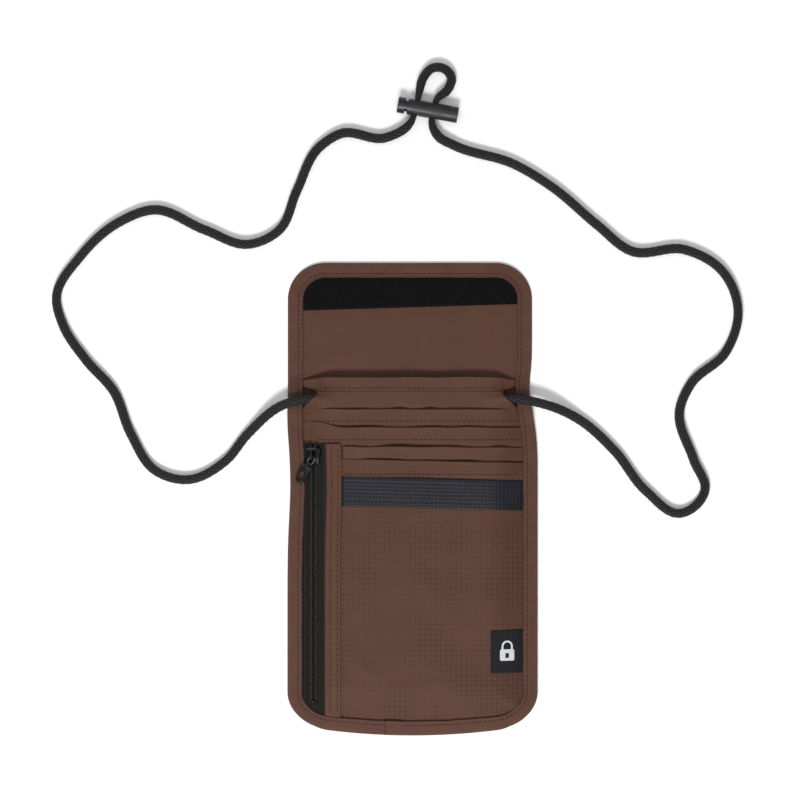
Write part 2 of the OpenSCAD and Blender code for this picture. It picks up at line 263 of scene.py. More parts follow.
def gape_card_1(x):
    """Depth and reach of the open mouth behind a panel's edge; here with two wider spots."""
    lens = bell((x + 7.5) / 3.6) + 0.9 * bell((x - 9.4) / 2.5)
    return slit(x, 6) * 0.8 + 0.9 * lens, 1.25 + 1.15 * lens


def gape_card_2(x):
    return slit(x, 7) * ease((x + 50) / 8), 1.2 + 0 * x


def gape_card_3(x):
    return 1.25 * slit(x, 8) * ease((x - FRONT_X - 1) / 3), 1.3 + 0.35 * along_line(x, 8)


def gape_front(x):
    return slit(x, 9) * ease((x - FRONT_X - 1) / 3), 1.2 + 0 * x


MOUTHS = {
    CARD_1: (edge_card_1, gape_card_1), CARD_2: (edge_card_2, gape_card_2),
    CARD_3: (edge_card_3, gape_card_3), FRONT: (edge_front, gape_front),
}


def sunk(x, y, layer):
    """How far a layer dips into the open mouths of the pockets in front of it."""
    total = 0 * x
    for k, (edge, gape) in MOUTHS.items():
        if k > layer:
            depth, reach = gape(x)
            total = total + depth * bell((y - edge(x) + 0.35) / reach)
    return total


def cord_top(x):
    """Height of the neck cord's upper side where it goes down into the pocket."""
    way_in = (57 - np.abs(x)) / 17
    return 10.55 - 4.3 * (0.55 * ease(way_in) + 0.45 * np.clip(way_in, 0, 1))


def slit_side(y):
    """Distance from the middle of the slanting edge of the slit that the cord goes into."""
    return 59.3 - 8.6 * np.clip((y - SLIT_LOW) / 8.4, 0, 1)


def hump(x, y):
    """The cloth over the cord just inside its slit."""
    over = np.maximum(cord_top(x) + 0.8 - bulge(x, y) - 1.5, 0)
    inside = ease((slit_side(y) + 1.2 - np.abs(x)) / 2.6) * ease((np.abs(x) - 34) / 5)
    return over * inside * bell((y - 54.4) / 5.0)


# Each front panel's layer, and the heights of its two faces above the bulge
LAYERS = {
    "main_pocket_panel": (MAIN, 1.5, 1.85), "card_panel_1": (CARD_1, 1.95, 2.3),
    "card_panel_2": (CARD_2, 2.4, 2.75), "card_panel_3": (CARD_3, 2.85, 3.2),
    "front_panel": (FRONT, 3.3, 3.7),
}


def stacked(x, y, above):
    """Height of the front stack where its flat height above the bulge is `above`."""
    return bulge(x, y) + crinkle(x, y) + above * pinch(x, y)


def height(x, y, layer, above):
    """The same for one layer, with its mouths, its seams and the hump over the cord."""
    z = stacked(x, y, above) - sunk(x, y, layer) - 0.4 * bell((x - SEAM_X) / 0.9)
    if layer >= CARD_3:
        z = z - 0.5 * bell((x - FRONT_X - 0.35) / 0.8)
    return z + hump(x, y) if layer == MAIN else z


# ---- meshes
def signed_volume(points, faces):
    a = points[faces[:, 0]]
    total = 0.0
    for k in range(1, faces.shape[1] - 1):
        b, c = points[faces[:, k]], points[faces[:, k + 1]]
        total += np.einsum("ij,ij->i", a, np.cross(b, c)).sum()
    return total


def add_object(name, data):
    obj = bpy.data.objects.new(name, data)
    bpy.context.scene.collection.objects.link(obj)
    return obj


def piece(name, points, faces, uv, kind, extra=()):
    """A closed smooth mesh of a kind of material. uv holds each point's place in the flat cut."""
    faces = np.asarray(faces)
    lists = faces.tolist() + [list(f) for f in extra]
    if signed_volume(points, faces) < 0:
        lists = [f[::-1] for f in lists]
    mesh = bpy.data.meshes.new(name)
    mesh.from_pydata((points * MM).tolist(), [], lists)
    mesh.polygons.foreach_set("use_smooth", [True] * len(mesh.polygons))
    layer = mesh.uv_layers.new(name="cut")
    index = np.zeros(len(mesh.loops), int)
    mesh.loops.foreach_get("vertex_index", index)
    layer.data.foreach_set("uv", (np.asarray(uv, float)[index] / CUT_UNIT).ravel())
    mesh.update()
    mesh.materials.append(MATERIAL[kind])
    return add_object(name, mesh)


def attach(obj, body, replaced=()):
    """Hides the CAD nodes that a piece stands for, and parents it to the empty of the body it rides
    on; a piece on the fold keeps no parent.
    """
    if replaced:
        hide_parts(*replaced)
    if body == "fold":
        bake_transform(obj)
    else:
        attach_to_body(obj, body)


def ring_faces(rings, around, closed=False):
    """Quads between successive rings of points, each ring closed on itself."""
    i = np.arange(rings if closed else rings - 1)[:, None]
    j = np.arange(around)[None, :]
    k, m = (i + 1) % rings, (j + 1) % around
    quads = np.stack([i * around + j, i * around + m, k * around + m, k * around + j], -1)
    return quads.reshape(-1, 4)


def swept_faces(rings, around):
    """The same, and quads over the two ends, where point i of a ring faces point around-1-i."""
    i = np.arange(around // 2 - 1)
    start = np.stack([i + 1, i, around - 1 - i, around - 2 - i], -1)
    end = np.stack([i, i + 1, around - 2 - i, around - 1 - i], -1) + (rings - 1) * around
    return np.concatenate([ring_faces(rings, around), start, end])


def slab(name, x, y, low, high, kind, cut):
    """A sheet with a thickness, from grids. cut gives the place of each point in the flat cut."""
    faces_up = np.stack([x, y, high], -1)
    faces_down = np.stack([x, y, low], -1)[:, ::-1]
    rings = np.concatenate([faces_up, faces_down], 1)
    flat = np.stack(cut, -1)
    uv = np.concatenate([flat, flat[:, ::-1]], 1)
    return piece(name, rings.reshape(-1, 3), swept_faces(*rings.shape[:2]), uv.reshape(-1, 2), kind)


def sewn_slab(name, x, y, low, high, kind):
    """A sheet cut flat at x, y that lies where the sewn pouch puts it."""
    return slab(name, *settle(x, y), low, high, kind, (x, y))


def tube_points(path, radii, sides, up=(0, 0, 1)):
    """Rings of points round a path."""
    ahead = unit(np.gradient(path, axis=0))
    side = unit(np.cross(ahead, np.array(up, float)))
    top = np.cross(side, ahead)
    turn = np.arange(sides) * 2 * math.pi / sides
    r = np.asarray(radii, float)
    r = np.broadcast_to(r[:, None] if r.ndim == 1 else r, (len(path), sides))
    return path[:, None] + r[..., None] * (
        np.cos(turn)[None, :, None] * side[:, None] + np.sin(turn)[None, :, None] * top[:, None])


def tube_part(path, radii, sides, up=(0, 0, 1)):
    """A tube with flat ends: its points, its quads, and each point's place around and along it."""
    path = np.asarray(path, float)
    rings = tube_points(path, radii, sides, up)
    uv = np.stack(grid(distances(path), np.arange(sides))[::-1], -1)
    return rings.reshape(-1, 3), swept_faces(len(rings), sides), uv.reshape(-1, 2)


def joined(name, parts, kind, extra=()):
    """One piece from many closed parts."""
    points, faces, uvs, first = [], [], [], 0
    for p, f, uv in parts:
        points.append(p)
        faces.append(f + first)
        uvs.append(uv)
        first += len(p)
    return piece(name, *(np.concatenate(v) for v in (points, faces, uvs)), kind, extra)


# ---- materials
def linear(rgb):
    c = np.array(rgb) / 255
    return tuple(np.where(c <= 0.04045, c / 12.92, ((c + 0.055) / 1.055) ** 2.4).tolist()) + (1.0,)


def shade(colour, *share):
    """A colour made darker or lighter, by one share or by one for each channel."""
    return tuple((np.array(colour[:3]) * share).tolist()) + (1.0,)


class Shader:
    """A principled material, with short calls for the nodes that feed it."""

    def __init__(self, name, rough, flat=True, **sockets):
        """Patterns follow the flat cut, in millimetres, or if flat is off the object, in metres."""
        self.material = bpy.data.materials.new(name)
        self.material.use_nodes = True
        self.tree = self.material.node_tree
        self.bsdf = self.tree.nodes["Principled BSDF"]
        self.bsdf.inputs["Roughness"].default_value = rough
        for key, value in sockets.items():
            self.bsdf.inputs[key.replace("_", " ")].default_value = value
        if flat:
            uv = self.node("UVMap", {"uv_map": "cut"})[0]
            scaled = self.node("VectorMath", {"operation": "SCALE"}, i0=uv, Scale=CUT_UNIT)
            self.place = scaled[0]
            self.x, self.y, _ = self.node("SeparateXYZ", i0=self.place)
        else:
            self.place = self.node("TexCoord")["Object"]

    def feed(self, socket, value):
        """Links an output to a socket, or sets the socket to a plain value."""
        if isinstance(value, bpy.types.NodeSocket):
            self.tree.links.new(value, socket)
        else:
            socket.default_value = value

    def node(self, kind, settings=None, **inputs):
        """The outputs of a new node. An input goes by its name, or by i and its number."""
        made = self.tree.nodes.new("ShaderNode" + kind)
        for key, value in (settings or {}).items():
            setattr(made, key, value)
        for key, value in inputs.items():
            self.feed(made.inputs[int(key[1:]) if key[1:].isdigit() else key], value)
        return made.outputs

    def calc(self, operation, a, b=0.0):
        return self.node("Math", {"operation": operation}, i0=a, i1=b)[0]

    def times(self, a, b):
        return self.calc("MULTIPLY", a, b)

    def plus(self, a, b):
        return self.calc("ADD", a, b)

    def wave(self, value, length):
        return self.calc("SINE", self.times(value, 2 * math.pi / length))

    def squares(self, cell, fade):
        """Lines every cell, across and along, that fade in between two shares of the cell."""
        return [self.spread(self.calc("PINGPONG", v, cell / 2), cell * fade[0], cell * fade[1])
                for v in (self.x, self.y)]

    def spread(self, value, low, high, to_low=0.0, to_high=1.0):
        return self.node("MapRange", {"interpolation_type": "SMOOTHSTEP"},
                         i0=value, i1=low, i2=high, i3=to_low, i4=to_high)[0]

    def noise(self, scale, detail=3.0, coarse=0.55, place=None):
        return self.node("TexNoise", Vector=place or self.place,
                         Scale=scale, Detail=detail, Roughness=coarse)[0]

    def mix(self, factor, a, b):
        return self.node("Mix", {"data_type": "RGBA"}, i0=factor, i6=a, i7=b)[2]

    def grade(self, value, low, high, dark, light):
        """One colour where value is low, another where it is high."""
        return self.mix(self.spread(value, low, high), dark, light)

    def finish(self, colour, relief, depth):
        """The material, with its colour, and its relief of a depth in metres."""
        self.feed(self.bsdf.inputs["Base Color"], colour)
        bump = self.node("Bump", Height=relief, Distance=depth, Strength=1.0)
        self.feed(self.bsdf.inputs["Normal"], bump[0])
        return self.material


def cloth(name, rgb, cell=2.75, grid=0.35, patch=0.5):
    """Woven nylon: fine over-and-under threads, and ripstop squares that show in patches."""
    s = Shader(name, 0.6, Specular_IOR_Level=0.2, Sheen_Weight=0.02)
    base = linear(rgb)
    dark = shade(base, 0.93)
    colour = s.grade(s.noise(0.035, 4.0), 0.35, 0.68, dark, shade(base, 1.06, 1.02, 1.01))
    lines = s.calc("MAXIMUM", *s.squares(cell, (0.3, 0.47)))
    shown = s.spread(s.noise(0.026, 4.0, 0.65), patch - 0.04, patch + 0.2, 0.12, 1.0)
    marked = s.times(lines, s.times(shown, s.spread(s.y, 4.0, -38.0, 0.35, 1.0)))
    colour = s.mix(s.times(marked, grid), colour, shade(base, 0.55))
    stretched = s.node("VectorMath", {"operation": "MULTIPLY"}, i0=s.place, i1=(0.25, 3.0, 1.0))
    slub = s.spread(s.noise(1.0, 2.0, place=stretched[0]), 0.3, 0.75, 0.0, 0.22)
    colour = s.mix(slub, colour, dark)
    threads = s.times(s.wave(s.x, 0.5), s.wave(s.y, 0.5))
    relief = s.plus(s.times(threads, 0.35), s.times(marked, 0.9))
    return s.finish(colour, s.plus(relief, s.times(s.noise(0.9), 0.8)), 0.00009)


def binding_cloth(name, rgb):
    """Plain tape with fine ribs, lighter along the folded edge, with a dark line of painted shade
    along its inner edge.
    """
    s = Shader(name, 0.66, Specular_IOR_Level=0.2, Sheen_Weight=0.03)
    base = linear(rgb)
    colour = s.grade(s.noise(0.16, 4.0), 0.32, 0.7, shade(base, 0.9), shade(base, 1.06, 1.04, 1.03))
    off_edge = s.calc("ABSOLUTE", s.y)
    # Rows: lighter along the fold; painted shade along the inner edge, where the binding meets the
    # cloth; darker over the first 0.8 mm of its length, at the joint.
    for value, low, high, at_low, at_high, share in (
        (off_edge, 0.0, 1.6, 0.35, 0.0, 1.35),
        (off_edge, 6.95, 7.35, 0.0, 0.8, 0.35),
        (s.x, 0.2, 0.8, 0.8, 0.0, 0.3),
    ):
        colour = s.mix(s.spread(value, low, high, at_low, at_high), colour, shade(base, share))
    ribs = s.times(s.wave(s.x, 0.55), s.wave(s.y, 0.5))
    return s.finish(colour, s.plus(s.times(ribs, 0.4), s.noise(0.7)), 0.00012)


def thread(name, rgb):
    """Twisted sewing thread."""
    s = Shader(name, 0.6, Specular_IOR_Level=0.2)
    base = linear(rgb)
    twist = s.calc("SINE", s.plus(s.times(s.y, 9.0), s.times(s.x, 1.6)))
    return s.finish(s.grade(twist, -1, 1, shade(base, 0.7), base), twist, 0.00005)


def tape_cloth(name, rgb, tint, cell, strength, border=None):
    """Knitted tape: a fine plaid of yarns, and perhaps a border along its lower edge."""
    s = Shader(name, 0.5, Specular_IOR_Level=0.22)
    across, along = s.squares(cell, (0.2, 0.5))
    plaid = s.plus(s.times(across, 0.5), s.times(along, 0.5))
    drift = s.spread(s.noise(0.05, 2.0), 0.35, 0.65, 0.25, 1.0)
    colour = s.mix(s.times(plaid, s.times(drift, strength)), linear(rgb), linear(tint))
    if border is not None:
        colour = s.mix(s.spread(s.y, 2.2, 2.5, 1.0, 0.0), colour, linear(border))
    return s.finish(colour, plaid, 0.00015)


def zip_cloth(name, rgb):
    """Zip tape in a fine herringbone."""
    s = Shader(name, 0.6, Specular_IOR_Level=0.2)
    base = linear(rgb)
    twill = s.wave(s.plus(s.y, s.calc("PINGPONG", s.x, 1.3)), 0.8)
    return s.finish(s.grade(twill, -0.6, 1.0, shade(base, 0.6), shade(base, 1.25)), twill, 0.0001)


def grained(name, rough, dark, light, scale, detail, depth,
            flat=False, coarse=0.55, high=0.7, **sockets):
    """One random grain, in colour and in relief: foil, pile, nylon wire or drawn steel."""
    s = Shader(name, rough, flat, **sockets)
    grain = s.noise(scale, detail, coarse)
    return s.finish(s.grade(grain, 0.3, high, dark, light), grain, depth)


def pile(name, rgb):
    base = linear(rgb)
    return grained(name, 0.9, shade(base, 0.45), shade(base, 1.5), 1.6, 5.0, 0.0006,
                   True, 0.7, 0.72, Specular_IOR_Level=0.08, Sheen_Weight=0.02)


def nylon(name, rgb, rough, shine):
    base = linear(rgb)
    return grained(name, rough, shade(base, 0.75), shade(base, 1.3), 900.0, 2.0, 0.00004,
                   Specular_IOR_Level=shine)


def plated(name, plain, rubbed):
    """Black-plated die casting, brighter where it is rubbed."""
    s = Shader(name, 0.3, False, Metallic=1.0)
    fine = s.noise(2600.0, 2.0)
    s.feed(s.bsdf.inputs["Roughness"], s.spread(fine, 0.2, 0.8, 0.14, 0.32))
    colour = s.grade(s.noise(340.0, 4.0, 0.6), 0.45, 0.75, linear(plain), linear(rubbed))
    return s.finish(colour, fine, 0.00003)


def moulded(name, rgb):
    """Matt moulded plastic with a fine spark-eroded grain."""
    s = Shader(name, 0.42, False, Specular_IOR_Level=0.38)
    base = linear(rgb)
    soft = s.noise(120.0, 3.0)
    s.feed(s.bsdf.inputs["Roughness"], s.spread(soft, 0.3, 0.7, 0.36, 0.5))
    colour = s.grade(soft, 0.35, 0.7, shade(base, 0.8), shade(base, 1.15))
    return s.finish(colour, s.noise(3200.0, 2.0), 0.00004)


def braid(name, rgb):
    """Braided cord: strands that cross in a diamond pattern, each of several fine yarns. The
    grooves between strands carry painted shade and the strand tops painted highlights.
    """
    s = Shader(name, 0.5, Specular_IOR_Level=0.19, Sheen_Weight=0.01)
    base = linear(rgb)
    around = s.times(s.x, BRAID_STARTS)
    along = s.times(s.y, 2 * math.pi / BRAID_PITCH)
    right, left = s.plus(around, along), s.calc("SUBTRACT", around, along)
    cross = s.times(s.calc("COSINE", right), s.calc("COSINE", left))
    over = s.spread(cross, -0.1, 0.1)
    yarns = [s.calc("SINE", s.times(way, 5.0)) for way in (right, left)]
    lines = s.plus(s.times(over, yarns[0]), s.times(s.calc("SUBTRACT", 1.0, over), yarns[1]))
    groove = s.spread(s.calc("ABSOLUTE", cross), 0.0, 0.45)
    # Painted highlight where the yarns stand highest on a strand.
    painted_highlight = s.times(s.spread(lines, -0.2, 1.0), s.spread(groove, 0.5, 1.0))
    # Painted shade in the grooves between strands, down to a tenth of the base colour, with the
    # painted highlights on top.
    colour = s.mix(painted_highlight, s.mix(groove, shade(base, 0.1), base), shade(base, 4.0))
    return s.finish(colour, s.plus(groove, s.times(lines, 0.2)), 0.00022)


def floor_paint(name):
    s = Shader(name, 0.9, False, Specular_IOR_Level=0.05)
    colour = s.mix(s.noise(30.0), (0.86, 0.86, 0.86, 1), (0.89, 0.89, 0.89, 1))
    s.feed(s.bsdf.inputs["Base Color"], colour)
    return s.material


MATERIAL = {
    "ripstop": cloth("ripstop_cloth", (76, 48, 36), grid=0.72, patch=0.4),
    "hem": cloth("ripstop_hem_cloth", (77, 50, 37), grid=0.3),
    "lining": cloth("lining_cloth_weave", (76, 48, 36), cell=2.3, grid=0.25),
    "binding": binding_cloth("binding_tape_weave", (79, 52, 42)),
    "brown_thread": thread("brown_thread_twist", (62, 27, 23)),
    "black_thread": thread("black_thread_twist", (22, 23, 24)),
    "foil": grained("foil_laminate", 0.32, (0.42, 0.43, 0.44, 1), (0.66, 0.67, 0.68, 1),
                    260.0, 4.0, 0.0003, Metallic=0.9),
    "hook": tape_cloth("hook_tape_knit", (20, 19, 25), (33, 35, 52), 1.9, 0.8, (16, 19, 19)),
    "hook_nylon": nylon("hook_nylon_wire", (26, 25, 33), 0.5, 0.25),
    "loop": pile("loop_tape_pile", (15, 15, 15)),
    "zip": zip_cloth("zip_tape_weave", (26, 23, 20)),
    "coil": nylon("coil_nylon_wire", (28, 28, 27), 0.4, 0.45),
    "plated": plated("black_plated_metal", (60, 61, 63), (101, 103, 108)),
    "casting": plated("black_plated_casting", (36, 37, 39), (72, 74, 78)),
    "label": tape_cloth("label_satin", (15, 14, 19), (23, 23, 30), 0.5, 0.6),
    "mark": thread("label_mark_thread", (222, 224, 226)),
    "cord": braid("braided_cord_strands", (24, 24, 25)),
    "lock": moulded("lock_moulding", (34, 34, 38)),
    "steel": grained("spring_wire", 0.22, (0.42, 0.42, 0.43, 1), (0.62, 0.62, 0.63, 1),
                     2400.0, 2.0, 0.00002, Metallic=1.0),
    "floor": floor_paint("floor_paint"),
}


# ---- camera, lights and floor
def set_camera():
    """Straight above the pouch, with a long lens."""
    field, lens, sensor = 0.432, 135.0, 36.0
    data = bpy.data.cameras.new("camera")
    data.lens = lens
    data.sensor_width = sensor
    obj = add_object("camera", data)
    obj.location = (-0.00675, 0.0535, field * lens / sensor)
    bpy.context.scene.camera = obj


def area_light(name, place, target, size, power):
    data = bpy.data.lights.new(name, "AREA")
    data.shape = "RECTANGLE"
    data.size, data.size_y = size
    data.energy = power
    obj = add_object(name, data)
    obj.location = place
    obj.rotation_euler = (Vector(target) - Vector(place)).to_track_quat("-Z", "Y").to_euler()


def set_lights():
    area_light("key", (-0.15, -0.85, 1.25), (0, 0.03, 0), (0.55, 0.35), 23.0)
    area_light("overhead", (0.0, 0.25, 1.6), (0, 0.05, 0), (1.6, 1.4), 7.0)
    area_light("rim", (-0.9, 0.8, 0.9), (0, 0.05, 0), (0.6, 0.6), 2.0)
    world = bpy.data.worlds.new("studio")
    world.use_nodes = True
    background = world.node_tree.nodes["Background"]
    background.inputs[0].default_value = (1.0, 1.0, 1.0, 1.0)
    background.inputs[1].default_value = 0.34
    bpy.context.scene.world = world
    bpy.context.scene.view_settings.view_transform = "Standard"


def make_floor():
    """A floor whose far edge curves up into a backdrop, so that it has no hard end."""
    side = np.linspace(-3400, 3400, 61)
    x, y = grid(side, side)
    top = 1500 * ease((np.hypot(x, y) - 1700) / 1900) - 0.2
    slab("floor", x, y, top - 6, top, "floor", (x, y))


# ---- neck cord
CORD_POINTS = [
    (-0.04, 0.054, 0.0038), (-0.057, 0.054, 0.0081), (-0.068, 0.0515, 0.0081),
    (-0.089, 0.035, 0.0028), (-0.101, 0.0205, 0.0025), (-0.122, 0.0105, 0.0025),
    (-0.138, 0.015, 0.0025), (-0.152, 0.0355, 0.0025), (-0.161, 0.058, 0.0025),
    (-0.176, 0.075, 0.0025), (-0.1885, 0.094, 0.0025), (-0.192, 0.108, 0.0025),
    (-0.179, 0.131, 0.0025), (-0.158, 0.1495, 0.0025), (-0.14, 0.156, 0.0025),
    (-0.112, 0.1452, 0.0025), (-0.088, 0.1375, 0.0025), (-0.072, 0.145, 0.0025),
    (-0.0625, 0.166, 0.0025), (-0.05, 0.19, 0.0025), (-0.039, 0.197, 0.0025),
    (-0.014, 0.195, 0.0028), (-0.001, 0.203, 0.0041), (0.002, 0.211, 0.0043),
    (0.0035, 0.219, 0.0041), (0.0063, 0.228, 0.003), (0.011, 0.2325, 0.0027),
    (0.0172, 0.232, 0.0027), (0.021, 0.227, 0.0029), (0.019, 0.2208, 0.0035),
    (0.0132, 0.2155, 0.0042), (0.0114, 0.2093, 0.0043), (0.0104, 0.2025, 0.0041),
    (0.014, 0.1955, 0.0034), (0.022, 0.191, 0.0027), (0.055, 0.1805, 0.0025),
    (0.075, 0.1685, 0.0025), (0.1, 0.1475, 0.0025), (0.118, 0.1338, 0.0025),
    (0.147, 0.1345, 0.0025), (0.167, 0.123, 0.0025), (0.1755, 0.102, 0.0025),
    (0.169, 0.0795, 0.0025), (0.15, 0.062, 0.0025), (0.144, 0.048, 0.0025),
    (0.1515, 0.0215, 0.0025), (0.1575, 0.004, 0.0025), (0.145, -0.0075, 0.0025),
    (0.126, 0.0043, 0.0025), (0.109, 0.026, 0.0025), (0.089, 0.0435, 0.0028),
    (0.068, 0.052, 0.0081), (0.057, 0.054, 0.0081), (0.04, 0.054, 0.0038),
]


def smooth_route(points, steps):
    """The CAD's curve: at each point it has the direction of the circle through its neighbours."""
    p = np.array(points) / MM
    aim = [unit(p[1] - p[0])]
    for before, after in zip(p[1:-1] - p[:-2], p[2:] - p[1:-1]):
        share = np.linalg.norm(after) / np.linalg.norm(before)
        aim.append(unit(before * share + after / share))
    aim.append(unit(p[-1] - p[-2]))
    found = []
    for i in range(len(p) - 1):
        length = np.linalg.norm(p[i + 1] - p[i])
        for s in np.arange(steps) / steps:
            found.append(p[i] * (2 * s**3 - 3 * s**2 + 1) + p[i + 1] * (3 * s**2 - 2 * s**3)
                         + length * (aim[i] * (s**3 - 2 * s**2 + s) + aim[i + 1] * (s**3 - s**2)))
    found = np.array(found + [p[-1]])
    found[:, 2] = np.maximum(found[:, 2], CORD_R)
    return found


def lock_point(x):
    return LOCK + x * np.array([math.cos(LOCK_TURN), math.sin(LOCK_TURN), 0])


def make_cord():
    """The braided cord, thinner where the lock grips it. Its strands stand up from the surface."""
    path, s = even(smooth_route(CORD_POINTS, 16), 0.45)
    gap = np.min([np.linalg.norm(path - lock_point(h), axis=1) for h in LOCK_HOLES], axis=0)
    in_seam = ease((44 - np.abs(path[:, 0])) / 3) * (path[:, 1] < 60)
    r = 1.6 + 0.87 * ease((gap - 3.2) / 11.0) - 0.25 * in_seam
    turn = np.arange(BRAID_SIDES) * 2 * math.pi / BRAID_SIDES
    around, along = BRAID_STARTS * turn[None, :], 2 * math.pi * s[:, None] / BRAID_PITCH
    strands = 0.36 * np.sqrt(np.abs(np.cos(around + along) * np.cos(around - along))) - 0.24
    free = 0.45 + 0.55 * ease((gap - 4.0) / 7.0)
    flattened = 0.06 * np.sin(s / 21)[:, None] * np.cos(2 * turn)[None, :]
    rings = tube_points(path, r[:, None] + free[:, None] * strands + flattened, BRAID_SIDES)
    rings[..., 2] = np.maximum(rings[..., 2], 0.02)
    uv = np.stack(np.broadcast_arrays(turn[None, :], s[:, None]), -1).reshape(-1, 2)
    last = (len(rings) - 1) * BRAID_SIDES
    caps = [list(range(BRAID_SIDES))[::-1], list(range(last, last + BRAID_SIDES))]
    faces = ring_faces(len(rings), BRAID_SIDES)
    obj = piece("neck_cord_braid", rings.reshape(-1, 3), faces, uv, "cord", caps)
    attach(obj, "pouch", ["neck_cord"])


# ---- cloth panels
def round_end(x, half, radius, inset, short=0.001):
    """How far from the middle an end with rounded corners reaches at x, drawn in by an inset."""
    r = radius - inset
    q = np.clip(np.abs(x) - (half - radius), 0, r - short)
    return END_Y - radius + np.sqrt(r * r - q * q)


def follow_end(x, y):
    """Moves the lower rows of a grid, so that the last one follows the body's rounded end."""
    low = -round_end(x, BODY_X, BODY_R, SEAM_IN)
    return np.where(y < KNEE_Y, low + (y - PANEL_LOW) / (KNEE_Y - PANEL_LOW) * (KNEE_Y - low), y)


def rows(top, marks, step, extra=()):
    """Places down a panel, close together at its top edge and at each mark."""
    found = [top - d for d in (0, 0.05, 0.13, 0.28, 0.5, 0.9, 1.4, 2.0, 2.8, 3.7, 4.8)]
    found += [m + d for m in marks for d in (-1.0, -0.5, -0.2, -0.06, 0.06, 0.2, 0.5, 1.0)]
    found += list(np.arange(top - 6.2, PANEL_LOW, -step)) + [PANEL_LOW] + list(extra)
    found = sorted(set(round(v, 3) for v in found if PANEL_LOW <= v <= top))
    kept = [found[0]]
    for v in found[1:]:
        if v - kept[-1] > 0.045:
            kept.append(v)
    return np.array(kept)


def panel_grid(layer, x0, edge, step):
    """A grid over a panel whose top edge is edge(x) and whose lower edge is the body's outline."""
    top, reach = PANEL_EDGE[layer], 24.0
    xs = np.linspace(x0, PANEL_X, int((PANEL_X - x0) / step) + 1)
    x, y = grid(xs, rows(top, [HEM_LOW[layer]], step))
    y = y + (edge(x) - top) * ease((y - (top - reach)) / reach)
    return x, follow_end(x, y)


def rolled(low, high, y, edge_y, r):
    """Pulls the two faces together at the top edge, in a half round."""
    d = np.clip(edge_y - y, 0, r)
    share = np.sqrt(np.maximum(1 - (1 - d / r) ** 2, 0))
    middle = (low + high) / 2
    return middle + (low - middle) * share, middle + (high - middle) * share


def softened(distance, r, least):
    """Share of its thickness that a piece keeps at a distance from its edge, rounded over r."""
    return np.sqrt(np.clip(distance / r, least, 1))


def lifted_edge(x, y, edge_y, k):
    """The free edge of a pocket stands a little off what is behind it."""
    free = np.maximum(0.45 + 0.4 * along_line(x, k), 0.05)
    return free * np.exp(-np.maximum(edge_y - y, 0) / 2.6) * ease((57 - np.abs(x)) / 9)


def front_slab(name, node, kind, x, y, edge_y, hem_t, ridge, lift_k=None):
    """A panel of one of the front layers, with its hem's thickness and the ridge at its fold."""
    layer, low_t, high_t = LAYERS[node]
    clear = ease((x - FRONT_X) / 0.7 + 1) if layer == FRONT else 1.0
    up_hem = y - HEM_LOW[layer]
    doubled = hem_t * ease((up_hem + 0.12) / 0.24) + ridge * bell((up_hem - 0.35) / 0.45)
    low = height(x, y, layer, low_t)
    high = height(x, y, layer, high_t) + clear * doubled
    if lift_k is not None:
        up = clear * lifted_edge(x, y, edge_y, lift_k)
        low, high = low + up, high + up
    obj = sewn_slab(name, x, y, *rolled(low, high, y, edge_y, 0.32), kind)
    attach(obj, "fold" if layer == MAIN else "pouch", [node])
    return obj


def make_main_panel():
    """The front wall of the main pocket, with a slit at each side for the cord."""
    outer = np.linspace(0.66, 1, 20)[1:]
    us = np.concatenate([-outer[::-1], np.linspace(-0.66, 0.66, 56), outer])
    top, low = PANEL_EDGE[MAIN], SLIT_LOW - 0.5
    u, y = grid(us, rows(top, [HEM_LOW[MAIN]], 2.2, np.arange(low, 63.5, 0.6)))
    inner = 42.0
    slit_x = slit_side(y)
    limit = np.where(y < SLIT_LOW, PANEL_X, slit_x + (58.4 - slit_x) * ease((y - 58.2) / 4.6))
    flat = PANEL_X * np.abs(u)
    drawn_in = inner + (flat - inner) / (PANEL_X - inner) * (limit - inner)
    x = np.sign(u) * np.where(flat < inner, flat, drawn_in)
    edge = edge_main(x)
    y = follow_end(x, y + (edge - top) * ease((y - 52) / 12))
    obj = front_slab("main_pocket_cloth", "main_pocket_panel", "hem", x, y, edge, 0.45, 0.35)


def make_pocket_panels():
    """The card pockets and the front panel, each a step lower than the one behind it."""
    behind = ["back_lining", "main_pocket_cloth"]
    for name, node, kind, x0, edge, step, hem_t, ridge, lift_k, flat, rests_on in (
        ("card_cloth_1", "card_panel_1", "hem", -PANEL_X, edge_card_1, 2.0,
         0.4, 0.08, 10, (0.135, 0.181), behind),
        ("card_cloth_2", "card_panel_2", "hem", -PANEL_X, edge_card_2, 2.0,
         0.4, 0.08, 3, (0.135, 0.171), behind),
        ("card_cloth_3", "card_panel_3", "hem", FRONT_X - 0.1, edge_card_3, 2.0,
         0.35, 0.08, 11, (0.105, 0.158), behind),
        ("front_cloth", "front_panel", "ripstop", -46.0, edge_front, 1.35,
         0.4, 0.1, 9, (0.1125, 0.153), ["card_cloth_3"]),
    ):
        x, y = panel_grid(LAYERS[node][0], x0, edge, step)
        obj = front_slab(name, node, kind, x, y, edge(x), hem_t, ridge, lift_k)


